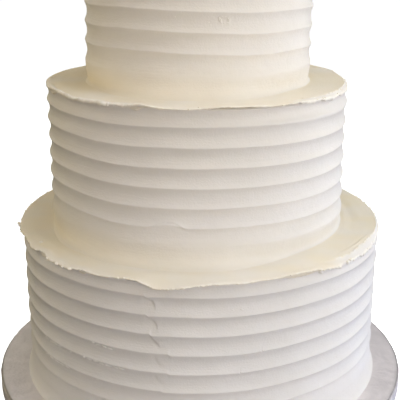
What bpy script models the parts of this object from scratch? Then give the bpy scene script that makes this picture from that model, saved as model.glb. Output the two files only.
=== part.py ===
"""A three-tier wedding cake in combed buttercream, on its round foil-covered board.

Run it with: blender --background --python part.py

The board lies on z = 0 with its centre on the z axis, and the cake's front faces -Y.
Bearings run round the cake from its front, positive towards +X.
"""

import math
from dataclasses import dataclass

import bmesh
import bpy

# Driving dimensions, in metres
MM = 0.001
GAP = 0.3 * MM  # between the board and the tiers, which touch in the real cake
BOARD_RADIUS = 152.4 * MM  # a 12 inch cake drum
BOARD_THICKNESS = 12.0 * MM
BOARD_EDGE = 2.0 * MM  # radius of the foil folded over the drum's edge
GROOVE_DEPTH = 2.2 * MM  # of the icing comb's scallops
COMB_FADE_FROM = 8.0 * MM  # above a tier's foot, where the grooves begin to show
COMB_FADE_TO = 32.0 * MM  # above a tier's foot, where they reach their full depth
FOOT_TOE = 0.8 * MM  # thickness of the icing's outer edge on what is below
FOOT_FLARE = 3.0 * MM  # how far the foot runs out past the crests
FOOT_FILLET = 13.0 * MM  # height of the hollow curve from the wall to the toe
LIP_REACH = 1.2 * MM  # how far the ledge's lip stands past the crests
LIP_DROP = 0.8 * MM  # how far the lip's edge lies below the ledge
LIP_THICKNESS = 1.6 * MM
LIP_WAVE = 0.4 * MM  # how far the spatula left the lip in and out
LEDGE_EDGE = 7.0 * MM  # width of the part of the ledge that slopes to the lip

# How finely the shapes are divided
SEGMENTS = 44
BOARD_SEGMENTS = 72
BOARD_EDGE_STEPS = 3
GROOVE_ROWS = 4
FILLET_ROWS = 3
SMOOTH_ANGLE = math.radians(40)
MERGE = 1e-6


@dataclass(frozen=True)
class Sag:
    """A stretch of lip that the spatula dragged over the edge."""

    bearing: float  # degrees
    width: float  # degrees to half its depth
    drop: float
    reach: float


@dataclass(frozen=True)
class Tier:
    """Heights are above the board's top face, where the measuring starts in a bakery."""

    name: str
    radius: float  # to the comb's crests
    offset: float  # of its centre towards +X, as stacked by hand
    seat: float  # height of what it stands on
    ledge: float  # height of its own top
    top_crest: float
    pitch: float  # from one crest to the next
    crests: int
    comb_slope: float  # rise of the comb's lines per metre towards +X
    lean: float  # sideways shift towards +X per metre of height
    sags: tuple


BOTTOM = Tier(
    name="tier_bottom",
    radius=129.2 * MM,
    offset=0.6 * MM,
    seat=0.0,
    ledge=113.0 * MM,
    top_crest=103.0 * MM,
    pitch=12.9 * MM,
    crests=7,
    comb_slope=0.0,
    lean=0.0,
    sags=(
        Sag(-70.0, 6.0, 0.0, 2.0 * MM),
        Sag(-44.0, 10.0, 2.0 * MM, 0.4 * MM),
        Sag(-10.0, 8.0, 4.0 * MM, 0.8 * MM),
        Sag(48.0, 12.0, 3.0 * MM, 0.8 * MM),
        Sag(128.0, 14.0, 2.0 * MM, 0.5 * MM),
        Sag(-140.0, 10.0, 3.0 * MM, 0.8 * MM),
    ),
)
MIDDLE = Tier(
    name="tier_middle",
    radius=105.0 * MM,
    offset=-2.1 * MM,
    seat=BOTTOM.ledge,
    ledge=213.0 * MM,
    top_crest=201.4 * MM,
    pitch=12.6 * MM,
    crests=7,
    comb_slope=-0.013,
    lean=0.0,
    sags=(
        Sag(-38.0, 9.0, 2.0 * MM, 0.8 * MM),
        Sag(-5.0, 12.0, 1.4 * MM, 0.4 * MM),
        Sag(52.0, 9.0, 2.0 * MM, 0.0),
        Sag(150.0, 16.0, 2.0 * MM, 0.6 * MM),
    ),
)
TOP = Tier(
    name="tier_top",
    radius=78.0 * MM,
    offset=-1.6 * MM,
    seat=MIDDLE.ledge,
    ledge=313.5 * MM,
    top_crest=302.8 * MM,
    pitch=12.5 * MM,
    crests=7,
    comb_slope=-0.026,
    lean=0.018,
    sags=(
        Sag(-60.0, 16.0, 1.2 * MM, 0.4 * MM),
        Sag(20.0, 14.0, 1.6 * MM, 0.4 * MM),
        Sag(130.0, 18.0, 1.4 * MM, 0.5 * MM),
    ),
)
TIERS = (BOTTOM, MIDDLE, TOP)


def clear_scene():
    for old in list(bpy.data.objects):
        bpy.data.objects.remove(old, do_unlink=True)


def material(name, colour, roughness, metallic):
    """A plain Principled material. The colour is linear RGB."""
    made = bpy.data.materials.new(name)
    made.use_nodes = True
    shader = made.node_tree.nodes["Principled BSDF"]
    shader.inputs["Base Color"].default_value = (*colour, 1.0)
    shader.inputs["Roughness"].default_value = roughness
    shader.inputs["Metallic"].default_value = metallic
    return made


def finished(name, shape, surface):
    """The shape as an object with its surface, shaded smooth over its rounded parts."""
    bmesh.ops.recalc_face_normals(shape, faces=shape.faces)
    mesh = bpy.data.meshes.new(name)
    shape.to_mesh(mesh)
    shape.free()
    mesh.shade_smooth()
    mesh.set_sharp_from_angle(angle=SMOOTH_ANGLE)
    mesh.materials.append(surface)
    body = bpy.data.objects.new(name, mesh)
    bpy.context.scene.collection.objects.link(body)
    return body


def board(surface):
    """The drum: a flat disc with both its edges rounded by the wrapped foil."""
    shape = bmesh.new()
    bmesh.ops.create_cone(
        shape,
        cap_ends=True,
        segments=BOARD_SEGMENTS,
        radius1=BOARD_RADIUS,
        radius2=BOARD_RADIUS,
        depth=BOARD_THICKNESS,
    )
    rims = [edge for edge in shape.edges if edge.verts[0].co.z == edge.verts[1].co.z]
    bmesh.ops.bevel(
        shape,
        geom=rims,
        offset=BOARD_EDGE,
        segments=BOARD_EDGE_STEPS,
        profile=0.5,
        affect="EDGES",
    )
    body = finished("cake_board", shape, surface)
    body.location.z = BOARD_THICKNESS / 2
    return body


def smooth_step(low, high, value):
    share = min(max((value - low) / (high - low), 0.0), 1.0)
    return share * share * (3.0 - 2.0 * share)


def groove_depth(above_foot):
    """The comb was lifted off towards the foot, so the grooves run out there."""
    return GROOVE_DEPTH * smooth_step(COMB_FADE_FROM, COMB_FADE_TO, above_foot)


def scallop(tier, crest_height):
    """Points up one groove, from just above the crest below it to the crest at its top."""
    for row in range(1, GROOVE_ROWS + 1):
        share = row / GROOVE_ROWS
        height = crest_height - tier.pitch * (1.0 - share)
        hollow = 1.0 - (2.0 * share - 1.0) ** 2
        yield tier.radius - groove_depth(height - tier.seat) * hollow, height


def profile(tier):
    """Radius and height up the tier, from the axis at its foot to the axis on top."""
    foot = tier.seat + GAP
    flared = tier.radius + FOOT_FLARE
    yield 0.0, foot
    yield flared, foot
    for row in range(FILLET_ROWS + 1):
        share = row / FILLET_ROWS
        yield flared - FOOT_FLARE * math.sqrt(share), foot + FOOT_TOE + FOOT_FILLET * share**1.5
    lowest = tier.top_crest - tier.pitch * (tier.crests - 2)
    for number in range(tier.crests - 1):
        yield from scallop(tier, lowest + tier.pitch * number)
    under_lip = tier.ledge - LIP_DROP - LIP_THICKNESS
    yield tier.radius - 0.7 * GROOVE_DEPTH, (tier.top_crest + under_lip) / 2
    yield tier.radius + 0.4 * LIP_REACH, under_lip
    yield tier.radius + LIP_REACH, tier.ledge - LIP_DROP
    yield tier.radius - 0.3 * LEDGE_EDGE, tier.ledge
    yield tier.radius - LEDGE_EDGE, tier.ledge
    yield 0.0, tier.ledge


def turned(outline):
    """The outline turned about the z axis into a closed body."""
    shape = bmesh.new()
    points = [shape.verts.new((radius, 0.0, height)) for radius, height in outline]
    edges = [shape.edges.new(pair) for pair in zip(points, points[1:])]
    bmesh.ops.spin(
        shape,
        geom=points + edges,
        cent=(0.0, 0.0, 0.0),
        axis=(0.0, 0.0, 1.0),
        angle=2.0 * math.pi,
        steps=SEGMENTS,
        use_merge=True,
    )
    bmesh.ops.remove_doubles(shape, verts=shape.verts, dist=MERGE)
    return shape


def sagging(tier, bearing):
    """How far the lip hangs and reaches at a bearing beyond its usual place."""
    drop = 0.0
    reach = LIP_WAVE * math.sin(5.0 * bearing + tier.radius / MM)
    for sag in tier.sags:
        apart = math.remainder(bearing - math.radians(sag.bearing), 2.0 * math.pi)
        share = math.exp(-math.log(2.0) * (apart / math.radians(sag.width)) ** 2)
        drop += sag.drop * share
        reach += sag.reach * share
    return drop, reach


def hand_finished(tier, point):
    """Where a point of the turned tier lies on the real one, with its uneven lip, sloping
    comb lines, lean and offset."""
    radius = math.hypot(point.x, point.y)
    if radius > 0.0:
        bearing = math.atan2(point.x, -point.y)
        on_lip = smooth_step(tier.radius, tier.radius + 0.3 * LIP_REACH, radius)
        on_lip *= point.z > tier.top_crest + MERGE
        drop, reach = sagging(tier, bearing)
        stretch = 1.0 + on_lip * reach / radius
        point.x *= stretch
        point.y *= stretch
        point.z -= on_lip * drop
    between = smooth_step(0.0, tier.pitch * 2.0, point.z - tier.seat)
    between *= 1.0 - smooth_step(tier.top_crest, tier.top_crest + 0.4 * tier.pitch, point.z)
    point.z += tier.comb_slope * point.x * between
    point.x += tier.offset + tier.lean * (point.z - tier.seat)
    point.z += BOARD_THICKNESS


def combed_tier(tier, surface):
    shape = turned(profile(tier))
    for corner in shape.verts:
        hand_finished(tier, corner.co)
    return finished(tier.name, shape, surface)


def main():
    clear_scene()
    foil = material("silver_foil", (0.52, 0.49, 0.46), 0.42, 0.8)
    board(foil)
    for tier in TIERS:
        cream = material(f"buttercream_{tier.name}", (0.80, 0.74, 0.64), 0.5, 0.0)
        combed_tier(tier, cream)


main()
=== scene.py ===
"""The looks of a three-tier wedding cake in combed buttercream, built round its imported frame.

The cake stands on a foil-covered board whose underside is z = 0, with its front towards -Y.
Bearings run round the cake from its front, positive towards +X. Lengths are in metres.
"""

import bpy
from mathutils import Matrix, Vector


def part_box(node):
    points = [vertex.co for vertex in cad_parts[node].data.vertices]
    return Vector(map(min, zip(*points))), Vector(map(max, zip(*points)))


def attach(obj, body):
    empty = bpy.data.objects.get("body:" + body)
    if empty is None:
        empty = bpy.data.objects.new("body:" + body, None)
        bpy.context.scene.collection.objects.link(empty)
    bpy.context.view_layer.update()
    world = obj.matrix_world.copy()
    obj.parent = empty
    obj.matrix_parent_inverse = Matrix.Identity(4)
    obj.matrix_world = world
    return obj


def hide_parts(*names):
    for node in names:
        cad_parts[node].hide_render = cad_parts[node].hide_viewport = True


bl_info = {
    "name": "Tiered Wedding Cake",
    "version": (1, 0, 0),
    "blender": (4, 5, 0),
    "location": "3D View > Sidebar > Wedding Cake",
    "description": "Ices, combs and lights a tiered wedding cake round its packed solids",
    "category": "Object",
}

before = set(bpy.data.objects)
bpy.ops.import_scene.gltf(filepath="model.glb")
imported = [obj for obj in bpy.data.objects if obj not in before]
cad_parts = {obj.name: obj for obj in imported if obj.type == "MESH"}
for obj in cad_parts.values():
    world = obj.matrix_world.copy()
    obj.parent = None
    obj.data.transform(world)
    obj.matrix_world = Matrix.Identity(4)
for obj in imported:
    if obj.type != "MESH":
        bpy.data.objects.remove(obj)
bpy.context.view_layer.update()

import math
from functools import partial

import bpy
import numpy as np
from bpy.props import FloatProperty, FloatVectorProperty, IntProperty, PointerProperty
from mathutils import Vector

MM = 0.001
BODY = "root"

# The frame's own shape
board_high = Vector(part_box("cake_board")[1])
BOARD_TOP, BOARD_RADIUS = board_high.z, board_high.x
FOOT_FLARE = 3.0 * MM  # how far each tier's solid runs out at its foot, past its crests

# How finely the pieces are divided
WALL_COLUMNS = 780
FOOT_ROWS = 12
GROOVE_ROWS = 14
LEDGE_COLUMNS = 1440
FLAT_ROWS, UPPERMOST_FLAT_ROWS, BEND_ROWS = 26, 18, 18
BOARD_COLUMNS = 720
RING = 2880  # even bearings that a lip is worked out at, to be looked up between
FRONT_CROWDING = 0.5  # how strongly columns crowd towards the front, where the fine marks are
CREST_CROWDING = 0.55  # how strongly a scallop's rows crowd towards its crests

# How the icing was worked
WALL_COVER = 1.4 * MM  # how deep a wall ends below its ledge
WALL_CLEARANCE = 0.6 * MM  # how far it stays below the lip where that hangs low
SETTLED = 9 * MM  # how far up a foot follows the waves of the ledge that it stands on
UNDER_NEXT = 34 * MM  # how far in a ledge runs, to lie under the next tier's foot
LIP_BEND = 9 * MM  # how far in from its edge an unstruck lip starts to bend
BEVEL_SHOULDER = 0.3  # where along the bend a struck edge starts to fall
SLIP_SPREAD = 0.24  # how far a slip of the comb pulls the wall with it, in scallops
SMOOTHED_UP = 25 * MM  # how far up an upper tier's foot the spatula worked it, and its yellower tint with painted warm shade reaches
UNSMOOTHED = -0.9 * MM  # the same for the bottom tier, whose foot is combed right down
TIGHT_FOOT = 0.1  # how much of an upper tier's foot is left round its sides

# Kinds of node that are used again and again
MATH, VECTORS = "ShaderNodeMath", "ShaderNodeVectorMath"
NOISE, MIX, RANGE = "ShaderNodeTexNoise", "ShaderNodeMix", "ShaderNodeMapRange"


def linear(code):
    """An sRGB hex colour as linear RGB."""
    shares = [int(code[place : place + 2], 16) / 255 for place in (1, 3, 5)]
    return tuple(s / 12.92 if s <= 0.04045 else ((s + 0.055) / 1.055) ** 2.4 for s in shares)


# ---- Sizes and colours


class CakeIcing(bpy.types.PropertyGroup):
    """The icing's sizes, and how unevenly it was put on."""

    groove_depth: FloatProperty(
        name="Groove Depth", description="Depth of the comb's scallops at mid height",
        default=2.7 * MM, min=0.0, subtype="DISTANCE", unit="LENGTH",
    )
    crest_round: FloatProperty(
        name="Crest Rounding", description="How softly two scallops meet at a crest",
        default=0.16 * MM, min=0.0, subtype="DISTANCE", unit="LENGTH",
    )
    wander: FloatProperty(
        name="Comb Wander", description="How far the comb's lines rise and fall from level",
        default=0.45 * MM, subtype="DISTANCE", unit="LENGTH",
    )
    swell: FloatProperty(
        name="Wall Swell", description="How far the walls bulge and sink from true round",
        default=0.7 * MM, subtype="DISTANCE", unit="LENGTH",
    )
    skin: FloatProperty(
        name="Skin", description="Height of the small flats and hollows in the combed icing",
        default=0.5 * MM, min=0.0, subtype="DISTANCE", unit="LENGTH",
    )
    lip_reach: FloatProperty(
        name="Lip Reach", description="How far a ledge's lip stands out past the crests below it",
        default=1.7 * MM, subtype="DISTANCE", unit="LENGTH",
    )
    lip_edge: FloatProperty(
        name="Lip Edge", description="Thickness of the icing at a lip's very edge",
        default=0.8 * MM, subtype="DISTANCE", unit="LENGTH",
    )
    raggedness: FloatProperty(
        name="Lip Raggedness", description="How far a lip's torn edge jumps in and out",
        default=0.3 * MM, subtype="DISTANCE", unit="LENGTH",
    )
    streaks: FloatProperty(
        name="Spatula Streaks", description="Height of the spatula's low waves on the ledges",
        default=0.16 * MM, subtype="DISTANCE", unit="LENGTH",
    )
    crumbs: IntProperty(
        name="Crumbs", description="How many small crumbs lie along each lip besides the listed ones",
        default=34, min=0,
    )
    seed: IntProperty(
        name="Seed", description="Which hand put the icing on: another number moves small faults",
        default=7, min=0,
    )


class CakeColours(bpy.types.PropertyGroup):
    """The colours of what the cake is made of."""

    combed: FloatVectorProperty(
        name="Combed Buttercream", description="Colour of the whipped icing on the combed sides",
        default=linear("#ebe8e2"), size=3, min=0.0, max=1.0, subtype="COLOR",
    )
    # The yellower tint also carries painted warm light on the tops and painted warm shade at the left and
    # back.
    smoothed: FloatVectorProperty(
        name="Smoothed Buttercream", description="Colour where the spatula pressed the butter up",
        default=linear("#eee3c8"), size=3, min=0.0, max=1.0, subtype="COLOR",
    )
    # Torn icing's colour, also used for painted highlights along lip edges, a struck edge's brow and the
    # crumbs.
    torn: FloatVectorProperty(
        name="Torn Buttercream", description="Colour of torn bits, where the icing shows its air",
        default=linear("#f8f4ea"), size=3, min=0.0, max=1.0, subtype="COLOR",
    )
    foil: FloatVectorProperty(
        name="Board Foil", description="Colour of the silver foil round the board",
        default=linear("#ebe5e4"), size=3, min=0.0, max=1.0, subtype="COLOR",
    )


class CakeStage(bpy.types.PropertyGroup):
    """The floor, the light and the camera."""

    room_light: FloatProperty(
        name="Room Light", description="Strength of the even light from all round the room",
        default=0.012, min=0.0,
    )
    lamp_power: FloatProperty(
        name="Lamp Power", description="How much of their listed power the soft lamps give",
        default=1.0, min=0.0, subtype="FACTOR",
    )
    camera_distance: FloatProperty(
        name="Camera Distance", description="From the cake's middle to the camera, along the floor",
        default=574.8 * MM, subtype="DISTANCE", unit="LENGTH",
    )
    camera_height: FloatProperty(
        name="Camera Height", description="Height of the camera above the board",
        default=309.9 * MM, subtype="DISTANCE", unit="LENGTH",
    )
    camera_tilt: FloatProperty(
        name="Camera Tilt", description="How far the camera looks down from level",
        default=math.radians(18.08), subtype="ANGLE", unit="ROTATION",
    )
    lens: FloatProperty(
        name="Lens", description="Focal length of the camera's lens", default=73.6, unit="CAMERA",
    )


# ---- The tiers


class Tier:
    """One tier: its sizes from the frame, and how the baker combed, stacked and edged it.

    Bearings are in degrees, lengths in millimetres, and places up the wall in crests from the
    lowest, so that 6.5 is half way between the seventh crest and the eighth.

    facing is where the foot spreads furthest, and how narrow that spread is, 0 to 1.
    lip is how far the edge hangs below the ledge at each bearing.
    thick is how many times its usual thickness the edge is, where it curled over.
    pressed is how yellow the ledge is tinted, 0 to 1: partly butter that the spatula brought to the
    surface, partly painted warm light from above and painted warm shade, the shade strongest at the left
    and back.
    held is how nearly the edge was wiped back, 0 to 1, and how far past the wall it then is.
    tears are where the edge is torn back over an older layer: bearing, width and depth.
    bevel is how nearly the edge was struck off at a slant, 0 to 1, and how broadly.
    ragged is how much of the icing's raggedness the edge shows.
    bead is how high the spatula's rolled bead stands just inside the edge.
    level is how far the comb's lines stand from level, by the top crest and by the lowest.
    strays are where a comb's line leaves its level: the crest, and its rise at each bearing.
    crumbs are bits of icing on the ledge: bearing, distance in from the edge, size, length.
    burrs are bits drawn out on the wall: bearing, place up the wall, size, length, tilt.
    marks are ridges, steps and nicks on the wall, and streaks are ridges on the ledge: the
    kind, its height, its width and the line that it follows.
    """

    def __init__(self, number, node, crest_below, pitch, crests, offset, foot, facing, **hand):
        low, high = (Vector(corner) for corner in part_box(node))
        self.number, self.node, self.crests = number, node, crests
        self.radius = (high.y - low.y) / 2 - FOOT_FLARE
        self.seat, self.ledge = low.z, high.z
        self.pitch, self.offset = pitch * MM, offset * MM
        self.top_crest = self.ledge - crest_below * MM
        self.lowest_crest = self.top_crest - self.pitch * (crests - 1)
        self.foot_flare, self.foot_run, self.toe = (size * MM for size in foot)
        self.facing, self.narrowness = facing
        for name, listed in hand.items():
            setattr(self, name, listed)

    def centre(self, height):
        """How far east of the cake's axis the tier's middle stands at a height, as it leans."""
        return self.offset + self.lean * (height - self.seat)


BOTTOM = Tier(
    0, "tier_bottom", crest_below=10, pitch=12.9, crests=8, offset=0.6, slope=0.0, lean=0.0,
    foot=(3.2, 0.9, 0.3), facing=(0, 0.3),
    lip=[
        (-82, 0.6), (-74, 1.4), (-70, 0.2), (-64, 1.6), (-58, 3.2), (-53, 0.8), (-47, 3.2), (-44, 2.2),
        (-41, 3.6), (-37, 1.9), (-32, 0.9), (-29, 1.8), (-25, 1), (-20, 0), (-17, 0.3), (-14.5, 3.2),
        (-12, 5), (-9.5, 5.2), (-7, 3.9), (-4.5, 3.7), (-2, 2), (3, 0.6), (8, 0.9), (13, 0.7),
        (16.5, -0.2), (21, 0.3), (24, -0.8), (28, -0.9), (33, 0.5), (38, 2.4), (41, 3.4), (45, 1.6),
        (51, 3.2), (60, 4.2), (70, 3.4), (78, 2.2), (90, 1.6), (98, 1.4), (106, 1.6), (116, 0.8),
        (128, 0.2), (220, -0.3), (236, -0.8), (252, -0.9), (266, -0.4),
    ],
    thick=[(-90, 1), (-66, 1.3), (-50, 1.8), (-34, 1.5), (-18, 1), (-10, 1.3), (0, 1)],
    pressed=[(-110, 1), (-60, 0.9), (-30, 0.64), (-8, 0.46), (30, 0.5), (70, 0.68), (120, 0.8)],
    held=[(40, 0, 0.3), (56, 0.8, 0.1), (72, 1, -0.3), (88, 1, -0.4), (100, 1, -0.6), (125, 0.3, 0)],
    tears=[
        (-53, 3.2, 1.9), (-64, 4, 0.9), (-35, 1.6, 0.8), (28, 6, 0.5), (139, 5, 2.2), (-141, 4, 1.8),
    ],
    bevel=[(38, 0, 8), (45, 1, 7), (58, 1, 6.5), (65, 1, 5), (70, 1, 2.4), (110, 1, 2), (120, 0, 2)],
    ragged=[(-100, 0.6), (-60, 1.1), (-36, 1.1), (-15, 0.5), (0, 0.8), (20, 0.8), (45, 1), (100, 1)],
    bead=[(-100, 0.2), (-60, 0.4), (-40, 0.5), (-15, 0.3), (0, 0.3), (30, 0.3), (60, 0.2), (100, 0.2)],
    level=[
        (-100, 0, 0), (-62, -1.5, -1.5), (-50, -1.1, -1.4), (-40, -0.9, -0.9), (-30, -1, -0.6),
        (-22, -0.8, -0.6), (-17, -1.2, -0.8), (-13, -0.6, -1), (-8, -0.4, -0.7), (0, -0.7, -0.6),
        (14, -0.5, -0.2), (20, -0.3, 0.5), (28, 0.1, 0.8), (35, 0.1, 0.8), (42, -0.3, 0.5),
        (50, -0.7, 0.3), (60, -0.6, 0.3), (100, 0, 0),
    ],
    strays=[
        (7, [(-26, 0), (-15.5, 0.3), (-14.9, -0.5), (-4, 0)]),
        (6, [(-26, 0), (-15, 0.3), (-14.4, -0.5), (-4, 0)]),
        (5, [(-26, 0), (-14.2, 0.4), (-13.6, -0.6), (-4, 0)]),
        (4, [(-24, 0), (-9, 0.4), (-8.4, -0.6), (0, 0)]),
        (3, [(-24, 0), (-9.3, 0.3), (-8.7, -0.5), (0, 0)]),
        (2, [(-24, 0), (-11.2, 0.3), (-10.6, -0.4), (0, 0)]),
    ],
    crumbs=[
        (-80, -1, 1.6, 1.6), (-78, -0.5, 1.1, 2.2), (-75.7, 37.6, 0.9, 1.8), (-60.4, 7, 1.9, 1.7),
        (-56.3, 0.4, 1.4, 1.5), (-48.6, 0, 1.5, 1.3), (-46, 0.2, 1.1, 1.2), (-43.8, -0.2, 1.7, 1.3),
        (-41.2, -0.3, 1.3, 1), (-38.1, -0.5, 2, 1.3), (-35, 0.3, 1, 2.5), (-33, 0.2, 1, 2),
        (-22.4, 0, 1.2, 1.1), (-20.8, 0.1, 1.1, 1), (-13.4, -0.1, 0.9, 1.4), (-8.6, 0, 0.9, 2),
        (-4.7, 0.1, 1.2, 1.6), (-3.3, 24, 1, 1.4), (1.5, 0, 0.8, 1.6), (9.5, -0.2, 0.9, 2.4),
        (13.5, 0, 1, 2.6), (24.5, 0, 1.1, 1.4), (34.5, -0.4, 1.3, 1.6), (46.5, 0.2, 1.6, 1.3),
        (45, -0.6, 1.2, 1.6), (89.5, 0.4, 1.4, 1.6), (92.5, 0.5, 1.2, 1.4), (95.5, 0.3, 1.1, 1.2),
        (101.5, 0.1, 1.4, 1.3),
    ],
    burrs=[
        (-32.1, 3.94, 1.6, 1, 0), (-30.4, 3.87, 1.3, 3.3, 0), (-28.6, 3.84, 1.3, 3.6, 0),
        (-26.8, 3.82, 1.3, 3.3, 0), (-35.5, 2.97, 1.6, 1, 0), (-33.8, 2.92, 1.3, 3.2, 0),
        (-31.6, 2.9, 1.3, 3.6, 0), (-29.4, 2.88, 1.3, 3.3, 0), (-27.2, 2.86, 1.3, 3.6, 0),
        (-25, 2.84, 1.3, 2.9, 0), (-23, 2.86, 1.3, 2.9, 0), (-54.5, 2.78, 1.3, 4, 4),
        (-51.8, 2.83, 1.3, 4, 2), (-49.1, 2.87, 1.3, 4, 2), (-46.4, 2.9, 1.3, 4, 2),
        (-41.2, 2.94, 1.2, 1.2, 0), (-54.5, 1.84, 1.3, 4, 2), (-51.6, 1.86, 1.3, 4, 0),
        (-48.8, 1.88, 1.3, 4, 0), (-46, 1.89, 1.3, 4, 0), (-43.2, 1.9, 1.3, 3.6, 0),
        (-31.3, 1.93, 1.2, 1.4, 0), (8.6, 6.26, 0.8, 2.4, 3), (11, 6.31, 0.9, 2.6, 0),
        (17.2, 4.03, 1.1, 1.2, 60), (11.2, 3.04, 1.1, 1.2, 60), (35.6, 7.46, 2.4, 1.3, 60),
        (36.2, 7.4, 2, 1.8, -30),
    ],
    marks=[
        ("step", 1.6, 0.25, [(-15.8, 6.97), (-14.6, 6.86), (-13.5, 6.72), (-12.9, 6.5), (-12.6, 6.2)]),
        ("step", 1.5, 0.25, [(-15.2, 5.97), (-14.4, 5.9), (-13.2, 5.7), (-12.4, 5.48), (-12, 5.2)]),
        ("step", 1.2, 0.25, [(-14.3, 4.98), (-13.7, 4.8), (-13, 4.57), (-11.6, 4.33), (-8, 4.25)]),
        ("step", 0.6, 0.3, [(-13.2, 3.87), (-12.5, 3.64), (-11.8, 3.42), (-10.6, 3.29), (-8, 3.2)]),
        ("step", 0.6, 0.3, [(-12.9, 2.85), (-12.4, 2.6), (-11.4, 2.43), (-9.6, 2.27)]),
        ("nick", 0.6, 0.8, [(-33, 3.8), (-29, 3.7), (-25, 3.68)]),
        ("nick", 0.6, 0.8, [(-35, 2.84), (-29, 2.76), (-22, 2.72)]),
        ("nick", 0.5, 0.8, [(-54, 2.64), (-47, 2.76), (-41, 2.8)]),
        ("nick", 0.5, 0.8, [(-54, 1.7), (-47, 1.74), (-41, 1.76)]),
        ("nick", 0.5, 0.5, [(17, 4.12), (17.1, 4)]), ("nick", 0.5, 0.5, [(10.9, 3.14), (10.9, 3)]),
        ("ridge", 0.3, 0.7, [(8.2, 6.24), (10.4, 6.27), (12.6, 6.3)]),
    ],
    streaks=[
        ("nick", 0.9, 3, [(108, 112), (97, 111), (86, 110.5), (79, 110.5)]),
        ("ridge", 0.5, 2.2, [(92, 106.5), (80, 105.5), (68, 107)]),
        ("ridge", 0.35, 1.1, [(-79, 89.5), (-74.5, 92.5), (-72.8, 95)]),
        ("nick", 0.3, 1.2, [(-76, 95.5), (-70, 97), (-66, 98)]),
        ("ridge", 0.16, 1.4, [(-52, 112), (-40, 115), (-28, 117.5)]),
        ("nick", 0.14, 1.2, [(-36, 108), (-24, 111), (-12, 112)]),
        ("ridge", 0.22, 0.9, [(-10, 118), (-7.7, 117.4), (-5, 118.2)]),
        ("ridge", 0.9, 0.9, [(44, 123.4), (50, 122.6), (56, 122.8), (63, 123.4), (69, 125.8)]),
    ],
)
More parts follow.
